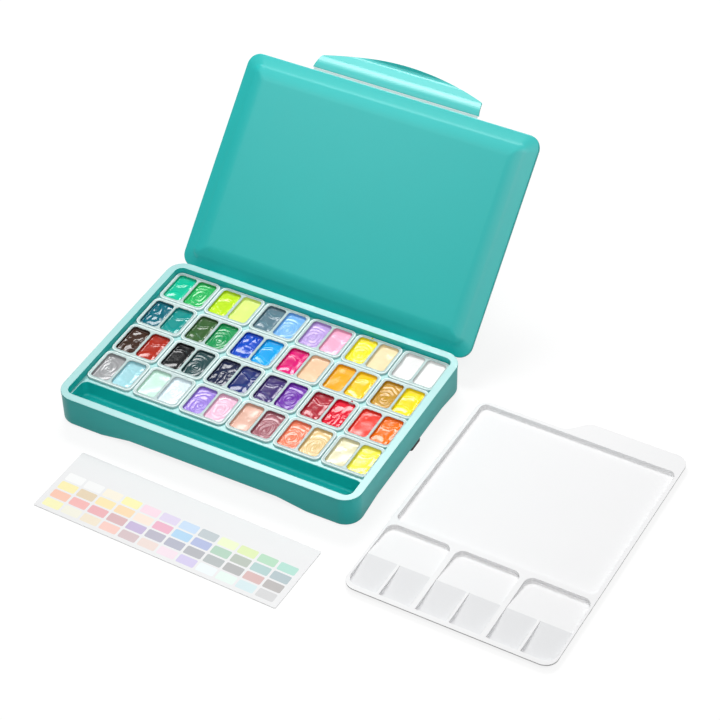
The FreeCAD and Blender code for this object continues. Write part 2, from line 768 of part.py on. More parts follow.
def main():
    """Build and write every piece."""
    os.makedirs("parts", exist_ok=True)
    save("tub", make_tub())
    save("tray_rim", make_tray_rim())
    save("cup_deck", make_cup_deck())
    save("brush_trough", make_brush_trough())
    save("rubber_feet", make_feet())
    save("hinge_pins", make_pins())
    save("lid_outer_shell", make_lid_shell())
    save("lid_inner_panel", make_lid_panel())
    save("clasp_hinge_web", make_web())
    save("clasp", make_clasp())
    save("palette", make_palette())
    save("colour_card", make_card())
    for row in range(cup_rows):
        for column in range(cup_columns):
            place = "_r" + str(row + 1) + "_c" + str(column + 1)
            save("twin_cup" + place, make_cup(row, column))
            save("paint" + place, make_paint(row, column))


main()
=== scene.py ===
# %% [markdown]
# # A gouache paint box, dressed for a studio picture
# The case, its lid and the loose palette come from the engineering model, which is loaded
# first and never moved. Everything else in this lesson is dressing: moulded edges, frosted
# cups, wet paint and a printed card, each riding on the body that carries it.

# %% Load the frame
import math
import random

import bmesh
import bpy
from mathutils import Matrix, Vector, noise


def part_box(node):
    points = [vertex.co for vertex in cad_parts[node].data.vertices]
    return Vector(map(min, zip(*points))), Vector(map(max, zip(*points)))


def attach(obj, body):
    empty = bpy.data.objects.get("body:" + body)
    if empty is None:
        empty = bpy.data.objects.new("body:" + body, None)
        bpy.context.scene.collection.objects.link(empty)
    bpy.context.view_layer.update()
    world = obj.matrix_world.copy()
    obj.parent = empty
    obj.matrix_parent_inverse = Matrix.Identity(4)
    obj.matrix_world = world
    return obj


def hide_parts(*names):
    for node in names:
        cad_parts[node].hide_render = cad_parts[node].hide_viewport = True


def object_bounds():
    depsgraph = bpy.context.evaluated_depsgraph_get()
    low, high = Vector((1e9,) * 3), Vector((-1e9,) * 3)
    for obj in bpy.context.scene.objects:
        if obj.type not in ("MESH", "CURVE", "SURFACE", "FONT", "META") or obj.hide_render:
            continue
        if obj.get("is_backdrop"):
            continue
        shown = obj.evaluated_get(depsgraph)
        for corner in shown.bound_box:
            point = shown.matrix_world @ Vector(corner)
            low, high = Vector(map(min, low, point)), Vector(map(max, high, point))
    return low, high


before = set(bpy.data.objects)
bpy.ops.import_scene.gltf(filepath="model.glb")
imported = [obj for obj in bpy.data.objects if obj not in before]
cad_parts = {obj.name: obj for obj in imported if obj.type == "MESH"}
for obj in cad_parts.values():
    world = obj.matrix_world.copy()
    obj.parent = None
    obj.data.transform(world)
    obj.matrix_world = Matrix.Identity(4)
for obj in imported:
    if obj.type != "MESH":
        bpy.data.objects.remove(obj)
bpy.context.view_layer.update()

MM = 0.001

# %% [markdown]
# ## The camera
# A long lens flattens the view the way product pictures do. The camera stands to the right of
# the case and looks down at it at about forty degrees, so the wells and the lid both show.

# %% Camera
CAMERA_PLACE = (0.8909, -1.4144, 1.5478)
lens = bpy.data.cameras.new("studio_lens")
lens.lens = 127.5
lens.sensor_width = 36.0
lens.sensor_fit = "HORIZONTAL"
camera = bpy.data.objects.new("studio_camera", lens)
bpy.context.scene.collection.objects.link(camera)
right = Vector((0.88021, 0.47429, -0.01647)).normalized()
backward = Vector((0.36250, -0.64952, 0.66837)).normalized()
up = backward.cross(right).normalized()
turn = Matrix((right, up, backward)).transposed().to_4x4()
camera.matrix_world = Matrix.Translation(CAMERA_PLACE) @ turn
bpy.context.scene.camera = camera
print("camera stands", round(camera.matrix_world.translation.length, 2), "m from the case")

# %% [markdown]
# ## Light and floor
# Three softboxes hang above the case. The one behind skims across the satin plastic, which is
# what turns the rims nearly white. A wider one at the right front lights the lid and the walls,
# and a small weak one at the left front opens their shadows. The floor paper is grey to those
# lamps and glows only for camera, mirror and see-through rays. So it looks white and still takes
# the shadow, and its glow puts no light on the object.

# %% Softboxes
LAMP_TARGET = Vector((0.05, 0.0, 0.05))


def softbox(name, direction, distance, size, watts):
    """Rectangular area lamp that looks at the case."""
    lamp = bpy.data.lights.new(name, "AREA")
    lamp.shape = "RECTANGLE"
    lamp.size, lamp.size_y = size
    lamp.energy = watts
    holder = bpy.data.objects.new(name, lamp)
    bpy.context.scene.collection.objects.link(holder)
    aim = Vector(direction).normalized()
    holder.location = LAMP_TARGET + aim * distance
    holder.rotation_euler = aim.to_track_quat("Z", "Y").to_euler()
    print(name, "hangs", distance, "m from its target with", watts, "W")


softbox("softbox_behind", (-0.28, 0.50, 0.82), 1.6, (0.8, 0.48), 17.0)
softbox("softbox_side", (0.46, -0.37, 0.88), 2.2, (1.2, 1.2), 18.0)
softbox("softbox_near", (-0.46, -0.26, 0.85), 0.95, (0.5, 0.5), 1.6)


# %% Node helpers
def nodes_of(owner):
    """Cleared node tree of a material or world, with its links."""
    owner.use_nodes = True
    tree = owner.node_tree
    tree.nodes.clear()
    return tree.nodes, tree.links


def seen_by_eye(nodes, links):
    """1 for camera, glossy and transmission rays, 0 for the rays that light things."""
    path = nodes.new("ShaderNodeLightPath")
    first = nodes.new("ShaderNodeMath")
    first.operation = "MAXIMUM"
    links.new(path.outputs["Is Camera Ray"], first.inputs[0])
    links.new(path.outputs["Is Glossy Ray"], first.inputs[1])
    both = nodes.new("ShaderNodeMath")
    both.operation = "MAXIMUM"
    links.new(first.outputs[0], both.inputs[0])
    links.new(path.outputs["Is Transmission Ray"], both.inputs[1])
    return both.outputs[0]


# %% World and floor
world = bpy.data.worlds.new("studio_air")
bpy.context.scene.world = world
nodes, links = nodes_of(world)
air = nodes.new("ShaderNodeBackground")
air.inputs["Color"].default_value = (1.0, 1.0, 1.0, 1.0)
air.inputs["Strength"].default_value = 0.22
world_out = nodes.new("ShaderNodeOutputWorld")
links.new(air.outputs[0], world_out.inputs["Surface"])

paper = bpy.data.materials.new("floor_paper")
nodes, links = nodes_of(paper)
eye = seen_by_eye(nodes, links)
matt = nodes.new("ShaderNodeBsdfDiffuse")
matt.inputs["Color"].default_value = (0.18, 0.18, 0.18, 1.0)
glow = nodes.new("ShaderNodeEmission")
glow.inputs["Strength"].default_value = 0.84
dark = nodes.new("ShaderNodeEmission")
dark.inputs["Strength"].default_value = 0.0
lift = nodes.new("ShaderNodeMixShader")
links.new(eye, lift.inputs["Fac"])
links.new(dark.outputs[0], lift.inputs[1])
links.new(glow.outputs[0], lift.inputs[2])
total = nodes.new("ShaderNodeAddShader")
links.new(matt.outputs[0], total.inputs[0])
links.new(lift.outputs[0], total.inputs[1])
paper_out = nodes.new("ShaderNodeOutputMaterial")
links.new(total.outputs[0], paper_out.inputs["Surface"])

FLOOR_HALF = 6.0
FLOOR_DROP = 0.0002
floor_mesh = bpy.data.meshes.new("studio_floor")
corners = [(x * FLOOR_HALF, y * FLOOR_HALF, 0) for x, y in ((-1, -1), (1, -1), (1, 1), (-1, 1))]
floor_mesh.from_pydata(corners, [], [(0, 1, 2, 3)])
floor_mesh.materials.append(paper)
floor = bpy.data.objects.new("studio_floor", floor_mesh)
floor.location.z = -FLOOR_DROP
bpy.context.scene.collection.objects.link(floor)
floor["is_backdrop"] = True
bpy.context.scene.view_settings.view_transform = "Standard"
print("floor is", 2 * FLOOR_HALF, "m wide")

# %% [markdown]
# ## Surface effects, built once
# Moulded plastic is never perfectly even. Its skin has a faint orange-peel ripple, the colour
# drifts a little where the melt cooled, and fine handling marks change the gloss. Those three
# live in one node group that every plastic here uses with its own values.


# %% Helpers for node groups
def new_group(name, inputs):
    """Shader node group with named inputs and the three usual outputs."""
    group = bpy.data.node_groups.new(name, "ShaderNodeTree")
    for label, kind, value in inputs:
        socket = group.interface.new_socket(name=label, in_out="INPUT", socket_type=kind)
        socket.default_value = value
    group.interface.new_socket(name="Color", in_out="OUTPUT", socket_type="NodeSocketColor")
    group.interface.new_socket(name="Roughness", in_out="OUTPUT", socket_type="NodeSocketFloat")
    group.interface.new_socket(name="Normal", in_out="OUTPUT", socket_type="NodeSocketVector")
    return group, group.nodes.new("NodeGroupInput"), group.nodes.new("NodeGroupOutput")


def math_node(group, operation, first, second):
    """Math node; each operand is a socket or a number."""
    node = group.nodes.new("ShaderNodeMath")
    node.operation = operation
    for socket, operand in zip(node.inputs, (first, second)):
        if isinstance(operand, (int, float)):
            socket.default_value = operand
        else:
            group.links.new(operand, socket)
    return node.outputs[0]


def noise_node(group, place, scale, detail=3.0):
    """Noise at a number of features per metre; scale is a socket or a number."""
    node = group.nodes.new("ShaderNodeTexNoise")
    node.inputs["Detail"].default_value = detail
    group.links.new(place, node.inputs["Vector"])
    if isinstance(scale, (int, float)):
        node.inputs["Scale"].default_value = scale
    else:
        group.links.new(scale, node.inputs["Scale"])
    return node.outputs["Fac"]


def tint(group, colour, amount):
    """Colour brightened or darkened by a factor around 1."""
    node = group.nodes.new("ShaderNodeVectorMath")
    node.operation = "SCALE"
    group.links.new(colour, node.inputs[0])
    group.links.new(amount, node.inputs["Scale"])
    return node.outputs[0]


# %% Node group: moulded skin
COLOUR, NUMBER = "NodeSocketColor", "NodeSocketFloat"
skin, skin_in, skin_out = new_group("moulded_skin", [
    ("Base", COLOUR, (0.5, 0.5, 0.5, 1.0)),
    ("Drift", NUMBER, 0.04),
    ("Gloss", NUMBER, 0.35),
    ("Gloss Wear", NUMBER, 0.08),
    ("Grain Scale", NUMBER, 1400.0),
    ("Grain Depth", NUMBER, 0.03),
])
place = skin.nodes.new("ShaderNodeTexCoord").outputs["Object"]
clouds = noise_node(skin, place, 11.0)
clouds = math_node(skin, "MULTIPLY", math_node(skin, "SUBTRACT", clouds, 0.5), skin_in.outputs["Drift"])
clouded = tint(skin, skin_in.outputs["Base"], math_node(skin, "ADD", clouds, 1.0))
skin.links.new(clouded, skin_out.inputs["Color"])
marks = noise_node(skin, place, 90.0, 6.0)
marks = math_node(skin, "MULTIPLY", math_node(skin, "SUBTRACT", marks, 0.5), skin_in.outputs["Gloss Wear"])
skin.links.new(math_node(skin, "ADD", marks, skin_in.outputs["Gloss"]), skin_out.inputs["Roughness"])
peel = skin.nodes.new("ShaderNodeBump")
peel.inputs["Distance"].default_value = 0.0004
skin.links.new(skin_in.outputs["Grain Depth"], peel.inputs["Strength"])
skin.links.new(noise_node(skin, place, skin_in.outputs["Grain Scale"], 2.0), peel.inputs["Height"])
skin.links.new(peel.outputs["Normal"], skin_out.inputs["Normal"])
print("group", skin.name, "has", len(skin.nodes), "nodes")


# %% [markdown]
# ## Plastics, wire and board
# The case, its lid and its flap are one satin turquoise plastic. The lid and the flap have a
# thin clear coat as well, which widens the soft shine on them. The palette is matt white, the
# feet are rubber and the hinge pins are drawn wire. All of them wear the same moulded skin with
# their own values, so a finish is one line.


# %% Materials that wear the moulded skin
TURQUOISE = (0.004, 0.53, 0.505)
SATIN = 0.42


def plastic(name, colour, gloss, drift=0.05, wear=0.08, grain=1400.0, depth=0.03):
    """Principled plastic whose colour, gloss and normal come from the moulded skin."""
    material = bpy.data.materials.new(name)
    nodes, links = nodes_of(material)
    group = nodes.new("ShaderNodeGroup")
    group.node_tree = skin
    for label, value in (("Base", (*colour, 1.0)), ("Drift", drift), ("Gloss", gloss),
                         ("Gloss Wear", wear), ("Grain Scale", grain), ("Grain Depth", depth)):
        group.inputs[label].default_value = value
    shader = nodes.new("ShaderNodeBsdfPrincipled")
    links.new(group.outputs["Color"], shader.inputs["Base Color"])
    links.new(group.outputs["Roughness"], shader.inputs["Roughness"])
    links.new(group.outputs["Normal"], shader.inputs["Normal"])
    out = nodes.new("ShaderNodeOutputMaterial")
    links.new(shader.outputs[0], out.inputs["Surface"])
    return material, shader


turquoise, shader = plastic("turquoise_abs", TURQUOISE, SATIN)
shader.inputs["IOR"].default_value = 1.5
lid_plastic, lid_shader = plastic("turquoise_lid", TURQUOISE, SATIN)
clasp_plastic, clasp_shader = plastic("turquoise_clasp", TURQUOISE, SATIN)
for coated, weight in ((lid_shader, 0.45), (clasp_shader, 0.8)):
    coated.inputs["IOR"].default_value = 1.5
    coated.inputs["Coat Weight"].default_value = weight
    coated.inputs["Coat Roughness"].default_value = SATIN
    coated.inputs["Coat IOR"].default_value = 1.7
# The hinge web's pale colour is a painted highlight along the lid's top edge.
painted_highlight_strip = plastic("hinge_web_painted_highlight", (0.62, 0.86, 0.85), 0.4)[0]
white_sheet, shader = plastic("white_palette_sheet", (0.865, 0.865, 0.87), 0.6, drift=0.02)
shader.inputs["IOR"].default_value = 1.35
rubber = plastic("foot_rubber", (0.02, 0.02, 0.021), 0.7, drift=0.3, grain=2600.0, depth=0.2)[0]
steel, shader = plastic("drawn_pin_wire", (0.6, 0.6, 0.61), 0.28, drift=0.15, grain=3000.0, depth=0.1)
shader.inputs["Metallic"].default_value = 1.0
print("plastics:", turquoise.name, lid_plastic.name, clasp_plastic.name, white_sheet.name)

# %% [markdown]
# ## Colours that live on the mesh
# The card changes colour with its print, and the frosted cups with painted highlight and painted
# shade from ring to ring. A colour written on the points of the mesh does that without any
# image: the skin's base colour is read from there.


# %% Materials that read their colour from the mesh
def read_colour(material, attribute):
    """Lets the moulded skin of a material take its base colour from the mesh."""
    nodes, links = material.node_tree.nodes, material.node_tree.links
    colour = nodes.new("ShaderNodeAttribute")
    colour.attribute_name = attribute
    group = next(node for node in nodes if node.bl_idname == "ShaderNodeGroup")
    links.new(colour.outputs["Color"], group.inputs["Base"])


frosted, shader = plastic("frosted_cup", (0.8, 0.9, 0.9), 0.34, drift=0.03, grain=2200.0, depth=0.04)
shader.inputs["Transmission Weight"].default_value = 0.06
shader.inputs["IOR"].default_value = 1.45
read_colour(frosted, "tone")
board_skin = {"drift": 0.03, "wear": 0.05, "grain": 2500.0, "depth": 0.04}
card_stock = plastic("coated_board", (0.75, 0.75, 0.76), 0.45, **board_skin)[0]
read_colour(card_stock, "ink")
print("read from the mesh:", frosted.name, card_stock.name)

# %% [markdown]
# ## Painted sheen on the tray's top faces
# The flat tops of the rim and the deck catch the lamps and look much paler than the walls below
# them. The lamps do part of that, and a painted sheen does the rest: a mask on height mixes a
# paler turquoise, painted in for the lamps' shine, and a soft coat into whatever lies at one of
# the two top levels.


# %% Tray plastic with a painted sheen on its top faces
def band(nodes, links, height, low, high):
    """0 below low, 1 above high; heights in metres."""
    ramp = nodes.new("ShaderNodeMapRange")
    ramp.interpolation_type = "SMOOTHSTEP"
    links.new(height, ramp.inputs["Value"])
    ramp.inputs["From Min"].default_value = low
    ramp.inputs["From Max"].default_value = high
    return ramp.outputs["Result"]


RIM_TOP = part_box("tray_rim")[1].z
DECK_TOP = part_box("cup_deck")[1].z
RIM_NEAR, RIM_FAR = 0.02 * MM, 0.22 * MM
DECK_NEAR, DECK_FAR = 0.05 * MM, 0.4 * MM
TRAY_WALLS = (0.004, 0.50, 0.475)
# The paler turquoise of the top faces is a painted sheen.
TRAY_TOPS_PAINTED_SHEEN = (0.20, 0.52, 0.51)
tray_plastic, shader = plastic("turquoise_tray", TRAY_WALLS, SATIN)
nodes, links = tray_plastic.node_tree.nodes, tray_plastic.node_tree.links
where = nodes.new("ShaderNodeSeparateXYZ")
links.new(nodes.new("ShaderNodeTexCoord").outputs["Object"], where.inputs[0])
height = where.outputs["Z"]
on_deck = nodes.new("ShaderNodeMath")
on_deck.operation = "SUBTRACT"
links.new(band(nodes, links, height, DECK_TOP - DECK_FAR, DECK_TOP - DECK_NEAR), on_deck.inputs[0])
links.new(band(nodes, links, height, DECK_TOP + DECK_NEAR, DECK_TOP + DECK_FAR), on_deck.inputs[1])
on_top = nodes.new("ShaderNodeMath")
on_top.operation = "ADD"
links.new(on_deck.outputs[0], on_top.inputs[0])
links.new(band(nodes, links, height, RIM_TOP - RIM_FAR, RIM_TOP - RIM_NEAR), on_top.inputs[1])
# Mixes the painted sheen colour into the two top levels.
paler = nodes.new("ShaderNodeMix")
paler.data_type = "RGBA"
paler.inputs["A"].default_value = (*TRAY_WALLS, 1.0)
paler.inputs["B"].default_value = (*TRAY_TOPS_PAINTED_SHEEN, 1.0)
links.new(on_top.outputs[0], paler.inputs["Factor"])
links.new(on_top.outputs[0], shader.inputs["Coat Weight"])
group = next(node for node in nodes if node.bl_idname == "ShaderNodeGroup")
links.new(paler.outputs["Result"], group.inputs["Base"])
shader.inputs["IOR"].default_value = 1.5
shader.inputs["Coat Roughness"].default_value = SATIN
shader.inputs["Coat IOR"].default_value = 1.8
print("pale levels in mm:", round(DECK_TOP / MM, 2), round(RIM_TOP / MM, 2))

# %% [markdown]
# ## Softening the moulded edges
# The engineering solids have sharp edges, but nothing leaves a mould that way: each edge keeps
# a small radius, and that radius is what catches the light. A copy of each solid is cleaned of
# its triangles, then a bevel modifier rounds only the edges that are really sharp. A shallow
# crease between two broad floors is marked, because smoothing would hide it.


# %% Rounded copies of the plastic solids
WELD = 0.004 * MM
BROAD = 20 * MM * MM
FACES_UP = 0.95
FLAT_ANGLE = math.radians(0.4)
CREASE_ANGLE = math.radians(2)
SHARP_ANGLE = math.radians(40)


def rounded_copy(node, body, radius, material):
    """Copy of a solid with softened edges; it stands in for the solid."""
    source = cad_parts[node].data
    mesh = bpy.data.meshes.new(node + "_moulded")
    points = [vertex.co[:] for vertex in source.vertices]
    mesh.from_pydata(points, [], [face.vertices[:] for face in source.polygons])
    work = bmesh.new()
    work.from_mesh(mesh)
    bmesh.ops.remove_doubles(work, verts=work.verts, dist=WELD)
    bmesh.ops.dissolve_limit(work, angle_limit=FLAT_ANGLE, verts=work.verts, edges=work.edges)
    for crease in work.edges:
        level = [face for face in crease.link_faces if face.normal.z > FACES_UP]
        if len([face for face in level if face.calc_area() > BROAD]) == 2:
            crease.smooth = crease.calc_face_angle() < CREASE_ANGLE
    work.to_mesh(mesh)
    work.free()
    mesh.polygons.foreach_set("use_smooth", [True] * len(mesh.polygons))
    mesh.materials.append(material)
    piece = bpy.data.objects.new(node + "_moulded", mesh)
    bpy.context.scene.collection.objects.link(piece)
    edge = piece.modifiers.new("moulded_edge", "BEVEL")
    edge.width = radius
    edge.segments = 3
    edge.limit_method = "ANGLE"
    edge.angle_limit = SHARP_ANGLE
    edge.harden_normals = True
    edge.miter_outer = "MITER_ARC"
    flats = piece.modifiers.new("flat_faces", "WEIGHTED_NORMAL")
    flats.keep_sharp = True
    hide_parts(node)
    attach(piece, body)
    print(piece.name, len(mesh.polygons), "faces before rounding")
    return piece


rounded_copy("tub", "base", 0.5 * MM, turquoise)
rounded_copy("tray_rim", "base", 1.5 * MM, tray_plastic)
rounded_copy("lid_inner_panel", "lid", 0.7 * MM, lid_plastic)
rounded_copy("lid_outer_shell", "lid", 0.5 * MM, lid_plastic)
rounded_copy("clasp", "clasp", 0.4 * MM, clasp_plastic)
rounded_copy("clasp_hinge_web", "lid", 0.15 * MM, painted_highlight_strip)
mixing = rounded_copy("palette", "palette", 0.45 * MM, white_sheet)
rounded_copy("rubber_feet", "base", 0.4 * MM, rubber)
rounded_copy("hinge_pins", "base", 0.2 * MM, steel)

# %% [markdown]
# ## Bays of the mixing palette
# The small bays along the palette's front edge fall towards that edge. They get a flatter finish
# than the wells behind, such as a sandblasted mould would leave, and a slightly greyer white,
# which is painted shade on faces that tilt away from the lamp behind.

# %% Greyer bays, painted shade
FALLS_FORWARD = -0.05
bay_skin = {"drift": 0.02, "grain": 3000.0, "depth": 0.06}
# The greyer white on the forward-falling bays is painted shade.
bay_painted_shade, shader = plastic("palette_bays_painted_shade", (0.775, 0.78, 0.79), 0.7, **bay_skin)
shader.inputs["IOR"].default_value = 1.35
mixing.data.materials.append(bay_painted_shade)
level = [face for face in mixing.data.polygons if face.normal.z > FACES_UP]
floors = [face for face in level if face.normal.y < FALLS_FORWARD]
for face in floors:
    face.material_index = 1
print("bay faces:", len(floors))

# %% [markdown]
# ## Rings
# Deck, trough, cups and card are all rounded rectangles stacked on each other. One helper draws
# such a ring at a height, a second skins a stack of rings, and a third closes the flat land
# between the last rings. Building them this way keeps every wall smooth and every corner round.


# %% Ring helpers
def ring(width, length, radius, height, centre=(0.0, 0.0), steps=8):
    """Points round a rectangle with rounded corners, anticlockwise."""
    points = []
    for quarter, (sx, sy) in enumerate(((1, 1), (-1, 1), (-1, -1), (1, -1))):
        for step in range(steps + 1):
            angle = math.radians(90) * (quarter + step / steps)
            points.append((centre[0] + sx * (width / 2 - radius) + radius * math.cos(angle),
                           centre[1] + sy * (length / 2 - radius) + radius * math.sin(angle), height))
    return points


def stack(work, rings):
    """Walls through a list of rings; returns the points of the first and the last."""
    made = [[work.verts.new(point) for point in points] for points in rings]
    for lower, upper in zip(made, made[1:]):
        for index in range(len(lower)):
            after = (index + 1) % len(lower)
            work.faces.new((lower[index], lower[after], upper[after], upper[index]))
    return made[0], made[-1]


def edges_of(work, points):
    """Edges round a closed run of points."""
    return [work.edges.get(pair) or work.edges.new(pair) for pair in zip(points, points[1:] + points[:1])]


def fill_flat(work, loops):
    """Flat land between an outer loop and the loops inside it."""
    edges = [edge for loop in loops for edge in edges_of(work, loop)]
    bmesh.ops.triangle_fill(work, use_beauty=True, edges=edges, normal=(0, 0, 1))


def smooth_mesh(work, name, material, sharp):
    """Mesh from a bmesh, smooth but for edges sharper than an angle."""
    bmesh.ops.recalc_face_normals(work, faces=work.faces)
    mesh = bpy.data.meshes.new(name)
    work.to_mesh(mesh)
    work.free()
    mesh.polygons.foreach_set("use_smooth", [True] * len(mesh.polygons))
    mesh.set_sharp_from_angle(angle=math.radians(sharp))
    mesh.materials.append(material)
    return mesh


# %% [markdown]
# ## Deck and brush trough
# The cups hang in a deck, and a trough for brushes is sunk along its front. On such a tray no
# seam parts the two, so they are drawn as one moulding: a plate with a hole under each cup, and
# a basin whose rear and end walls roll over a soft lip into the plate. It is drawn in
# millimetres and scaled at the end, because the flat filling works better on larger numbers.

# %% Deck and trough in one moulding
ROWS, COLUMNS = 4, 6
CUP_TAGS = [(row, column, f"r{row + 1}_c{column + 1}") for row in range(ROWS) for column in range(COLUMNS)]
cup_low, cup_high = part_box("twin_cup_r1_c1")
CUP_TOP, CUP_BOTTOM = cup_high.z, cup_low.z
CUP_WIDTH, CUP_LENGTH = cup_high.x - cup_low.x, cup_high.y - cup_low.y
PLATE, PLATE_CORNER = 2.0, 6.97
HOLE_INSET, HOLE_CORNER = 1.2, 4.8
WALL, FRONT_WALL = 1.6, 1.8
LIP, FOOT, BASIN_CORNER = 1.0, 2.2, 5.9
BASIN_DRAFT = 0.4
SHELL_INSET, SHELL_STEP, SHELL_CORNER = 0.3, 0.2, 7.0
GAP = 0.03
EIGHTHS = [math.radians(22.5) * step for step in range(5)]


def deck_mesh():
    """Plate with twenty-four holes and the basin, in millimetres until the last line."""
    work = bmesh.new()
    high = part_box("cup_deck")[1] / MM
    top, bottom = high.z, high.z - PLATE
    outline = (2 * (high.x - GAP), 2 * (high.y - GAP), PLATE_CORNER)
    under, over = stack(work, [ring(*outline, bottom), ring(*outline, top)])
    loops_above, loops_below = [over], [under]
    for row, column, tag in CUP_TAGS:
        near, far = [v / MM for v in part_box("twin_cup_" + tag)]
        middle = ((near.x + far.x) / 2, (near.y + far.y) / 2)
        size = (far.x - near.x - 2 * HOLE_INSET, far.y - near.y - 2 * HOLE_INSET, HOLE_CORNER)
        below, above = stack(work, [ring(*size, bottom, middle), ring(*size, top, middle)])
        loops_above.append(above)
        loops_below.append(below)
    near, far = [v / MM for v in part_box("brush_trough")]
    rear, front, floor_z = far.y - WALL, near.y + FRONT_WALL, near.z + WALL

    def basin(inset, height):
        length = rear - inset - front
        width = 2 * (far.x - WALL - inset)
        return ring(width, length, BASIN_CORNER - inset, height, (0.0, front + length / 2))

    rings = [basin(-LIP + LIP * math.sin(a), top - LIP * (1 - math.cos(a))) for a in EIGHTHS]
    rings += [basin(BASIN_DRAFT + FOOT * (1 - math.cos(a)), floor_z + FOOT * (1 - math.sin(a)))
              for a in EIGHTHS]
    mouth, floor_ring = stack(work, rings)
    work.faces.new(floor_ring)
    loops_above.append(mouth)

    def shell(front_y, height):
        length = far.y - front_y
        width = 2 * (far.x - SHELL_INSET)
        return ring(width, length, SHELL_CORNER, height, (0.0, front_y + length / 2))

    rings = [shell(front, bottom), shell(near.y, bottom - SHELL_STEP), shell(near.y, near.z)]
    neck, base = stack(work, rings)
    work.faces.new(base)
    loops_below.append(neck)
    fill_flat(work, loops_above)
    fill_flat(work, loops_below)
    bmesh.ops.scale(work, vec=(MM, MM, MM), verts=work.verts)
    return smooth_mesh(work, "deck_and_trough", tray_plastic, 50)


deck = bpy.data.objects.new("deck_and_trough", deck_mesh())
bpy.context.scene.collection.objects.link(deck)
deck.modifiers.new("flat_faces", "WEIGHTED_NORMAL").keep_sharp = True
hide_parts("cup_deck", "brush_trough")
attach(deck, "base")
print("deck has", len(deck.data.polygons), "faces")

# %% [markdown]
# ## The frosted twin cups
# Each cup is a thin frosted moulding with two wells. Its flange carries a raised bead along the
# outer edge, where a film lid would be sealed, and the wells have rolled lips. Frosted plastic
# looks lighter where it is thick, and each ring carries its own tone with painted light in it:
# near white on the bead, partly a painted highlight; pale aqua where the deck shows through;
# painted shade in grey where the lip turns down and on the walls of the wells.

# %% Cup sizes and tones
CUP_CORNER = 6.0 * MM
OVERHANG = 1.7 * MM
RIM_HEIGHT = 2.2 * MM
TAPER = 1.2 * MM
RIM_TO_WELL = 3.2 * MM
DIVIDER = 2.5 * MM
WELL_CORNER = 3.4 * MM
WELL_WIDTH = (CUP_WIDTH - 2 * RIM_TO_WELL - DIVIDER) / 2
WELL_LENGTH = CUP_LENGTH - 2 * RIM_TO_WELL
WELL_OFFSET = (WELL_WIDTH + DIVIDER) / 2
# The bead's near white is partly a painted highlight; the lip and well wall tones are painted shade.
BEAD_TONE_AND_HIGHLIGHT = (0.82, 0.93, 0.92, 1.0)
LAND_TONE = (0.48, 0.62, 0.61, 1.0)
LIP_PAINTED_SHADE = (0.52, 0.58, 0.57, 1.0)
WELL_WALL_PAINTED_SHADE = (0.36, 0.43, 0.43, 1.0)
print("well in mm:", round(WELL_WIDTH / MM, 2), "x", round(WELL_LENGTH / MM, 2))


# %% Cup shape
def toned_stack(work, layer, rings):
    """Stack of (ring, tone) pairs, with the tones written on the points."""
    first = len(work.verts)
    ends = stack(work, [points for points, tone in rings])
    work.verts.ensure_lookup_table()
    count = len(rings[0][0])
    for index, (points, tone) in enumerate(rings):
        for vertex in work.verts[first + index * count:first + (index + 1) * count]:
            vertex[layer] = tone
    return ends


def cup_mesh():
    """One twin cup, centred on x = y = 0."""
    work = bmesh.new()
    layer = work.verts.layers.float_color.new("tone")
    bead, lip, groove = 0.55 * MM, 0.45 * MM, 0.28 * MM
    deck_height = CUP_TOP - RIM_HEIGHT

    def outer(inset, height, tone):
        return ring(CUP_WIDTH - 2 * inset, CUP_LENGTH - 2 * inset, CUP_CORNER - inset, height), tone

    rings = [outer(OVERHANG + TAPER, CUP_BOTTOM, LAND_TONE), outer(OVERHANG, deck_height, LAND_TONE),
             outer(0.2 * MM, deck_height, BEAD_TONE_AND_HIGHLIGHT), outer(0.0, deck_height + 0.2 * MM, BEAD_TONE_AND_HIGHLIGHT),
             outer(0.0, CUP_TOP - bead, BEAD_TONE_AND_HIGHLIGHT)]
    for step in range(1, 5):
        angle = math.radians(22.5 * step)
        rings.append(outer(bead * (1 - math.cos(angle)), CUP_TOP - bead * (1 - math.sin(angle)), BEAD_TONE_AND_HIGHLIGHT))
    rings += [outer(1.05 * MM, CUP_TOP, BEAD_TONE_AND_HIGHLIGHT), outer(1.4 * MM, CUP_TOP - 0.75 * groove, LAND_TONE),
              outer(1.65 * MM, CUP_TOP - groove, LAND_TONE)]
    bottom, land = toned_stack(work, layer, rings)
    work.faces.new(list(reversed(bottom)))
    loops = [land]
    for side in (-1, 1):
        def well(inset, height, tone):
            size = (WELL_WIDTH - 2 * inset, WELL_LENGTH - 2 * inset, WELL_CORNER - inset)
            return ring(*size, height, (side * WELL_OFFSET, 0.0)), tone

        rings = [well(-0.9 * lip, CUP_TOP - groove, LAND_TONE),
                 well(-0.75 * lip, CUP_TOP - 0.4 * groove, LIP_PAINTED_SHADE)]
        for step in range(1, 5):
            angle = math.radians(22.5 * step)
            drop = 0.2 * groove + 0.8 * lip * (1 - math.cos(angle))
            rings.append(well(-0.6 * lip * math.cos(angle), CUP_TOP - drop, LIP_PAINTED_SHADE))
        rings.append(well(0.04 * MM, CUP_TOP - 0.9 * MM, WELL_WALL_PAINTED_SHADE))
        rings.append(well(TAPER, CUP_BOTTOM + 1.0 * MM, WELL_WALL_PAINTED_SHADE))
        top, floor_ring = toned_stack(work, layer, rings)
        work.faces.new(floor_ring)
        loops.append(top)
    fill_flat(work, loops)
    return smooth_mesh(work, "twin_cup", frosted, 50)


cup_shape = cup_mesh()
print("cup has", len(cup_shape.polygons), "faces")

# %% [markdown]
# ## Pigments
# Gouache is known by its pigments, so the wells are filled by name. Each name has one mass tone,
# and the order follows the box: rows from the hinge to the front, pairs from left to right. The
# word after the name is the mark that the paint keeps. A number after that says where paint has
# run over the well's rear lip, in millimetres from the well's middle.

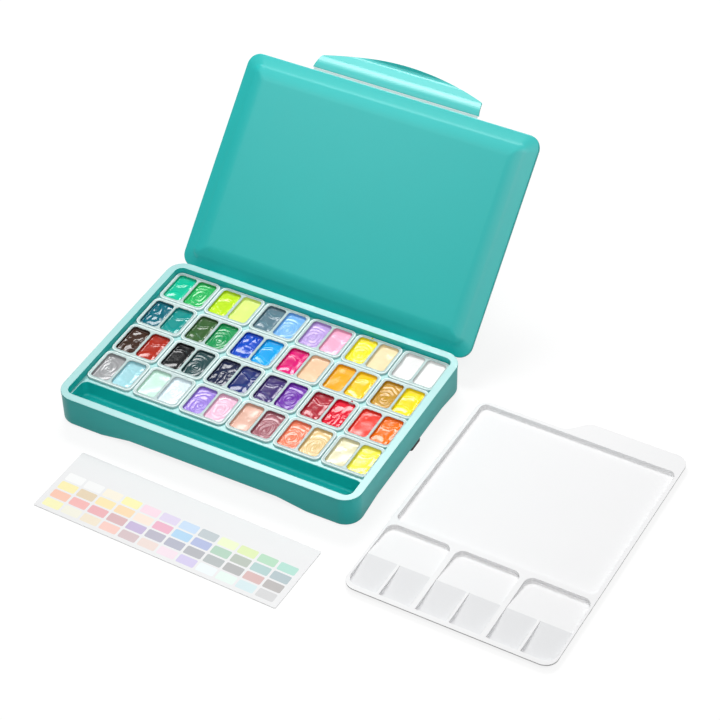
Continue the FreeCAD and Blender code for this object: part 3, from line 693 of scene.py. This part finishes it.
# %% Pigment names and their places
PIGMENTS = {
    "emerald": (0.00, 0.50, 0.30), "leaf": (0.02, 0.47, 0.11), "lime": (0.50, 0.76, 0.01),
    "pale_lemon": (0.74, 0.92, 0.22), "slate": (0.10, 0.19, 0.24), "sky": (0.18, 0.46, 0.86),
    "lilac": (0.50, 0.34, 0.72), "rose_pink": (0.92, 0.42, 0.60), "cadmium_lemon": (0.95, 0.82, 0.00),
    "cream": (0.90, 0.76, 0.46), "zinc_white": (0.86, 0.86, 0.85), "titanium_white": (0.90, 0.90, 0.89),
    "deep_teal": (0.00, 0.12, 0.17), "teal_green": (0.00, 0.27, 0.25), "olive": (0.035, 0.11, 0.025),
    "viridian": (0.00, 0.30, 0.08), "ultramarine": (0.00, 0.06, 0.50), "cerulean": (0.00, 0.36, 0.80),
    "magenta": (0.72, 0.00, 0.17), "peach": (0.93, 0.60, 0.38), "cadmium_orange_yellow": (0.93, 0.42, 0.00),
    "golden_yellow": (0.96, 0.60, 0.00), "ochre": (0.58, 0.30, 0.01), "medium_yellow": (0.95, 0.74, 0.00),
    "umber": (0.045, 0.018, 0.010), "burnt_sienna": (0.40, 0.022, 0.008), "lamp_black": (0.008, 0.009, 0.010),
    "green_grey": (0.015, 0.06, 0.065), "indigo": (0.010, 0.016, 0.055), "navy": (0.010, 0.022, 0.16),
    "dark_violet": (0.05, 0.025, 0.16), "purple": (0.16, 0.02, 0.40), "crimson": (0.42, 0.012, 0.03),
    "scarlet": (0.72, 0.00, 0.025), "coral_red": (0.86, 0.04, 0.02), "orange": (0.93, 0.17, 0.00),
    "warm_grey": (0.34, 0.34, 0.35), "pale_turquoise": (0.36, 0.66, 0.72), "pale_mint": (0.62, 0.88, 0.76),
    "ice_blue": (0.74, 0.87, 0.92), "violet": (0.34, 0.22, 0.72), "pale_pink": (0.86, 0.52, 0.68),
    "skin": (0.74, 0.44, 0.34), "mauve_brown": (0.36, 0.11, 0.14), "salmon": (0.92, 0.24, 0.13),
    "sand": (0.80, 0.58, 0.26), "pale_straw": (0.80, 0.76, 0.50), "lemon": (0.93, 0.86, 0.08),
}
WELLS = [
    ["emerald fold", "leaf swirl", "lime fold", "pale_lemon plain",
     "slate fold", "sky swirl", "lilac swirl", "rose_pink fold",
     "cadmium_lemon swirl 1.5", "cream plain", "zinc_white plain", "titanium_white plain"],
    ["deep_teal rough", "teal_green fold", "olive fold", "viridian swirl",
     "ultramarine rough", "cerulean fold", "magenta fold", "peach plain",
     "cadmium_orange_yellow plain", "golden_yellow fold", "ochre swirl", "medium_yellow fold"],
    ["umber rough", "burnt_sienna fold", "lamp_black fold", "green_grey swirl",
     "indigo rough", "navy fold", "dark_violet fold", "purple swirl",
     "crimson fold", "scarlet rough 3.5", "coral_red plain", "orange fold"],
    ["warm_grey swirl", "pale_turquoise fold", "pale_mint plain", "ice_blue swirl",
     "violet swirl", "pale_pink swirl", "skin plain", "mauve_brown swirl",
     "salmon swirl", "sand swirl", "pale_straw plain", "lemon fold"],
]
print("pigments:", len(PIGMENTS), "wells:", sum(len(row) for row in WELLS))

# %% [markdown]
# ## Wet paint
# Thick gouache keeps the mark of the nozzle or the knife: rings, a folded ribbon, a rough stir or
# a levelled skin. It also leaves a ragged film on the walls of its well. Each filling is a grid
# that is bent to the well's rounded corners, finer near the walls, and lifted by one of four
# surface rules. The slopes stay gentle, because wet paint mirrors the lamps in broad patches.
# Blender seeds its vector noise from the clock, so it is given a seed before the first stir.

# %% Paint surface rules
PAINT_LEVEL = CUP_TOP - 3.0 * MM
noise.seed_set(48)


def smooth(value, low, high):
    """0 below low, 1 above high, eased between."""
    share = min(max((value - low) / (high - low), 0.0), 1.0)
    return share * share * (3 - 2 * share)


def drift(x, y, seed, scale):
    """Soft noise over the well, about -1 to 1; lengths in millimetres."""
    return noise.noise(Vector((x * scale, y * scale, seed * 9)))


def swirl_height(x, y, seed):
    """Rings round an off-centre peak, left by a round nozzle."""
    dx = x - seed[0] * 1.8
    dy = (y + 2.0 - seed[1] * 2.5) / 1.35
    reach = math.hypot(dx, dy)
    turn = math.atan2(dy, dx)
    rings = math.sin(2 * math.pi * (reach / 3.4 + 0.5 * drift(x, y, seed[2], 0.14)) - turn)
    fade = smooth(reach, 0.4, 2.2) * (1 - 0.6 * smooth(reach, 7.5, 13.0))
    return 0.20 * rings * fade + 0.55 * math.exp(-(reach / 1.2) ** 2) + 0.15 * drift(x, y, seed[1], 0.12)


def fold_height(x, y, seed):
    """A ribbon folded across the well and a hump near its front end."""
    line = 7.5 + 2.0 * math.sin(x * 0.33 + seed[0] * 3) + seed[1] * 1.2
    ribbon = 0.60 * math.exp(-((y - line) / 1.7) ** 2)
    line = -6.5 + 2.6 * math.sin(x * 0.28 + seed[2] * 4)
    hump = 0.65 * smooth(line - y, -1.3, 1.9) * (1 - 0.6 * smooth(line - y, 3.0, 7.5))
    side = 0.30 * math.exp(-((x - 5.5 - seed[0] * 1.5) / 1.9) ** 2)
    return ribbon + hump + side + 0.10 * drift(x, y, seed[1], 0.2)


def rough_height(x, y, seed):
    """Stirred paint that has not levelled."""
    shift = noise.noise_vector(Vector((x * 0.10, y * 0.08, seed[0] * 11))) * 0.8
    tear = 1 - abs(noise.noise(Vector((x * 0.11, y * 0.09, seed[1] * 5)) + shift)) * 1.7
    return 0.85 * max(tear, 0.0) ** 1.2 + 0.20 * drift(x, y, seed[2], 0.24)


def plain_height(x, y, seed):
    """Levelled paint with a shallow sag and a faint nib."""
    nib = 0.12 * math.exp(-((x - seed[1] * 4) ** 2 + (y - 4 - seed[2] * 5) ** 2) / 1.8)
    return 0.34 * drift(x, y, seed[0], 0.11) + nib


HEIGHTS = {"swirl": swirl_height, "fold": fold_height, "rough": rough_height, "plain": plain_height}
print("paint rules:", ", ".join(HEIGHTS))

# %% [markdown]
# ## One filling
# A filling is a closed lump: a grid on top, a skirt and a flat underside. Next to the wall its
# points climb, which is the film that paint leaves behind. Where paint has run over, the points
# also creep across the well's rear lip.

# %% Grid of one filling
WALL_STEPS = [0.0, 0.07, 0.16, 0.30, 0.52, 0.85, 1.3]
FILM_REACH, FILM_RISE = 0.26, 2.35
FILM_LOWEST, FILM_HIGHEST = 1.0, 2.8
SPILL_WIDTH, SPILL_HEIGHT, SPILL_CREEP = 1.5, 3.5, 2.6
WALL_SLACK = 0.08
# Painted light in the paint's colour: raised parts lighter, hollows darker, the wall film in painted shade.
RELIEF_PAINTED_LIGHT, FILM_PAINTED_SHADE = 0.16, 0.34
UNDER_X, UNDER_Y, UNDER_DEPTH = 0.995, 0.99, 2 * MM


def graded(half, pitch=0.5):
    """Places from -half to half in millimetres, closer together near both ends."""
    inner = half - WALL_STEPS[-1]
    count = max(int(round(2 * inner / pitch)), 2)
    middle = [-inner + 2 * inner * index / count for index in range(1, count)]
    return [-half + step for step in WALL_STEPS] + middle + [half - step for step in reversed(WALL_STEPS)]


def into_corners(x, y, half_x, half_y, radius):
    """Moves a point of a rectangle into the same rectangle with rounded corners."""
    dx, dy = abs(x) - (half_x - radius), abs(y) - (half_y - radius)
    if dx > 0 and dy > 0:
        nx = dx * math.sqrt(1 - dy * dy / (2 * radius * radius))
        ny = dy * math.sqrt(1 - dx * dx / (2 * radius * radius))
        return math.copysign(half_x - radius + nx, x), math.copysign(half_y - radius + ny, y)
    return x, y


def paint_point(x, y, wall, rule, seed, spill):
    """Height over the paint's level, sideways creep and film share of one point, in mm."""
    body = HEIGHTS[rule](x, y, seed) * smooth(wall, 0.2, 2.4)
    film = math.exp(-wall / FILM_REACH)
    rise = FILM_RISE + 0.8 * drift(x, y, seed[0], 0.5) + 0.4 * drift(x, y, seed[1], 1.5)
    height = body + min(max(rise, FILM_LOWEST), FILM_HIGHEST) * film
    creep = 0.0
    if spill and y > 0:
        tongue = math.exp(-((x - spill) / SPILL_WIDTH) ** 2) * film
        height += tongue * (SPILL_HEIGHT - height)
        creep = SPILL_CREEP * tongue
    return height, creep, film, body


# %% Closed lump of paint
def add_filling(work, layer, shift_x, pigment, rule, seed, spill=0.0):
    """Closed lump of paint in one well; each point's tone is its pigment with painted light and shade."""
    half_x = WELL_WIDTH / MM / 2 - WALL_SLACK
    half_y = WELL_LENGTH / MM / 2 - WALL_SLACK
    grid = []
    for gy in graded(half_y):
        line = []
        for gx in graded(half_x):
            x, y = into_corners(gx, gy, half_x, half_y, WELL_CORNER / MM)
            wall = min(half_x - abs(gx), half_y - abs(gy))
            height, creep, film, body = paint_point(x, y, wall, rule, seed, spill)
            point = work.verts.new((x * MM + shift_x, (y + creep) * MM, PAINT_LEVEL + height * MM))
            # Painted light and shade in the tone: lighter on raised paint, darker in hollows and on the wall
            # film.
            shade = 1.0 + RELIEF_PAINTED_LIGHT * math.tanh(body * 1.6) - FILM_PAINTED_SHADE * film
            point[layer] = [min(c * shade, 1.0) for c in pigment] + [1.0]
            line.append(point)
        grid.append(line)
    for lower, upper in zip(grid, grid[1:]):
        for index in range(len(lower) - 1):
            work.faces.new((lower[index], lower[index + 1], upper[index + 1], upper[index]))
    border = grid[0] + [line[-1] for line in grid[1:]]
    border += grid[-1][-2::-1] + [line[0] for line in grid[-2:0:-1]]
    under = []
    for point in border:
        low_x = point.co.x * UNDER_X + shift_x * (1 - UNDER_X)
        low = work.verts.new((low_x, point.co.y * UNDER_Y, PAINT_LEVEL - UNDER_DEPTH))
        low[layer] = point[layer]
        under.append(low)
    for index in range(len(border)):
        after = (index + 1) % len(border)
        work.faces.new((border[after], border[index], under[index], under[after]))
    work.faces.new(list(reversed(under)))


# %% [markdown]
# ## The look of wet gouache
# Wet gouache is opaque with a soft sheen, and it is never one flat colour. The material reads
# each point's tone from the mesh, and that tone holds painted light: raised paint lighter,
# hollows darker and painted shade on the film up the walls. A node group of its own adds
# streaks, patches that have begun to dull and a fine ripple.

# %% Paint material
wet, wet_in, wet_out = new_group("wet_paint_skin", [
    ("Pigment", COLOUR, (0.5, 0.5, 0.5, 1.0)),
    ("Streaks", NUMBER, 0.14),
    ("Gloss", NUMBER, 0.13),
    ("Ripple", NUMBER, 0.05),
])
place = wet.nodes.new("ShaderNodeTexCoord").outputs["Object"]
streak = noise_node(wet, place, 420.0, 5.0)
streak = math_node(wet, "MULTIPLY", math_node(wet, "SUBTRACT", streak, 0.5), wet_in.outputs["Streaks"])
streaked = tint(wet, wet_in.outputs["Pigment"], math_node(wet, "ADD", streak, 1.0))
wet.links.new(streaked, wet_out.inputs["Color"])
dull = math_node(wet, "MULTIPLY", noise_node(wet, place, 260.0, 3.0), 0.09)
wet.links.new(math_node(wet, "ADD", dull, wet_in.outputs["Gloss"]), wet_out.inputs["Roughness"])
ripple = wet.nodes.new("ShaderNodeBump")
ripple.inputs["Distance"].default_value = 0.0006
wet.links.new(wet_in.outputs["Ripple"], ripple.inputs["Strength"])
wet.links.new(noise_node(wet, place, 330.0, 3.0), ripple.inputs["Height"])
wet.links.new(ripple.outputs["Normal"], wet_out.inputs["Normal"])

gouache = bpy.data.materials.new("wet_gouache")
nodes, links = nodes_of(gouache)
tone_node = nodes.new("ShaderNodeAttribute")
tone_node.attribute_name = "tone"
group = nodes.new("ShaderNodeGroup")
group.node_tree = wet
links.new(tone_node.outputs["Color"], group.inputs["Pigment"])
shader = nodes.new("ShaderNodeBsdfPrincipled")
links.new(group.outputs["Color"], shader.inputs["Base Color"])
links.new(group.outputs["Roughness"], shader.inputs["Roughness"])
links.new(group.outputs["Normal"], shader.inputs["Normal"])
shader.inputs["IOR"].default_value = 1.5
out = nodes.new("ShaderNodeOutputMaterial")
links.new(shader.outputs[0], out.inputs["Surface"])
print(gouache.name, "uses the group", wet.name)

# %% [markdown]
# ## Filling the cups
# Every cup shares one mesh, because they leave the same mould. The fillings differ, so each cup
# gets a mesh of paint of its own, with the seeds drawn in the order of the cups.


# %% Fill the cups and set them in the case
def fill_cup(name, pair, chance):
    """Both fillings of a cup as one mesh."""
    work = bmesh.new()
    layer = work.verts.layers.float_color.new("tone")
    for side, words in zip((-1, 1), pair):
        pigment, rule, spill = (words.split() + ["0"])[:3]
        seed = [chance.uniform(-1, 1) for _ in range(3)]
        add_filling(work, layer, side * WELL_OFFSET, PIGMENTS[pigment], rule, seed, float(spill))
    return smooth_mesh(work, name, gouache, 80)


chance = random.Random(48)
for row, column, tag in CUP_TAGS:
    low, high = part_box("twin_cup_" + tag)
    cup = bpy.data.objects.new("frosted_cup_" + tag, cup_shape)
    pair = WELLS[row][2 * column:2 * column + 2]
    paint = bpy.data.objects.new("gouache_" + tag, fill_cup("gouache_" + tag, pair, chance))
    for piece, node, slot in ((cup, "twin_cup_", "cup_plastic"), (paint, "paint_", "paint_" + tag)):
        piece.location = ((low.x + high.x) / 2, (low.y + high.y) / 2, 0.0)
        bpy.context.scene.collection.objects.link(piece)
        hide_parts(node + tag)
        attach(piece, "cup_" + tag)
print("cups filled:", len(CUP_TAGS))

# %% [markdown]
# ## The colour card
# The card is stiff coated board with a swatch for every paint. A printed swatch is much paler
# than wet paint. The order runs the other way round, so that the card reads with the lid shut.

# %% Card with printed swatches
CARD_LENGTH, CARD_DEPTH, CARD_THICKNESS = 244.0 * MM, 73.8 * MM, 0.5 * MM
CARD_CORNER, CARD_EDGE = 1.5 * MM, 0.08 * MM
CARD_TURN = math.radians(-2.1)
CARD_WHITE = (0.745, 0.745, 0.75, 1.0)
INK_CURVE, INK_STRENGTH = 0.8, 0.50
SWATCH = (17.3 * MM, 9.4 * MM, 1.4 * MM)
FIRST_SWATCH = (-108.0 * MM, -27.8 * MM)
SWATCH_PITCH = (19.6 * MM, 11.3 * MM)


def card_mesh():
    """Board with a rounded outline and a separate face for each swatch."""
    work = bmesh.new()
    ink = work.verts.layers.float_color.new("ink")
    board = (CARD_LENGTH, CARD_DEPTH, CARD_CORNER)
    inner = (CARD_LENGTH - 2 * CARD_EDGE, CARD_DEPTH - 2 * CARD_EDGE, CARD_CORNER - CARD_EDGE)
    rings = [ring(*board, 0.0), ring(*board, CARD_THICKNESS - CARD_EDGE), ring(*inner, CARD_THICKNESS)]
    bottom, top = stack(work, rings)
    work.faces.new(list(reversed(bottom)))
    bare = CARD_WHITE[0]
    loops, swatches = [top], []
    for row, words in enumerate(reversed(WELLS)):
        for column, entry in enumerate(reversed(words)):
            pigment = PIGMENTS[entry.split()[0]]
            middle = (FIRST_SWATCH[0] + column * SWATCH_PITCH[0], FIRST_SWATCH[1] + row * SWATCH_PITCH[1])
            points = [work.verts.new(point) for point in ring(*SWATCH, CARD_THICKNESS, middle, 4)]
            loops.append(points)
            copies = [work.verts.new(point.co) for point in points]
            printed = [bare + (c ** INK_CURVE - bare) * INK_STRENGTH for c in pigment]
            swatches.append((copies, printed + [1.0]))
    for point in work.verts:
        point[ink] = CARD_WHITE
    fill_flat(work, loops)
    for copies, tone in swatches:
        work.faces.new(copies)
        for point in copies:
            point[ink] = tone
    return smooth_mesh(work, "swatch_card", card_stock, 30)


card_low, card_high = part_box("colour_card")
card = bpy.data.objects.new("swatch_card", card_mesh())
card.location = ((card_low.x + card_high.x) / 2, (card_low.y + card_high.y) / 2, 0.0)
card.rotation_euler.z = CARD_TURN
bpy.context.scene.collection.objects.link(card)
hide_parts("colour_card")
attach(card, "colour_card")
print("card faces:", len(card.data.polygons))

# %% [markdown]
# ## Last look at the size
# The dressed model must fill the same box as the engineering model, so its box is printed
# before the scene is closed.

# %% Print the dressed box
low, high = [list(v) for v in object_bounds()]
print("dressed", [round(v / MM, 1) for v in low + high])
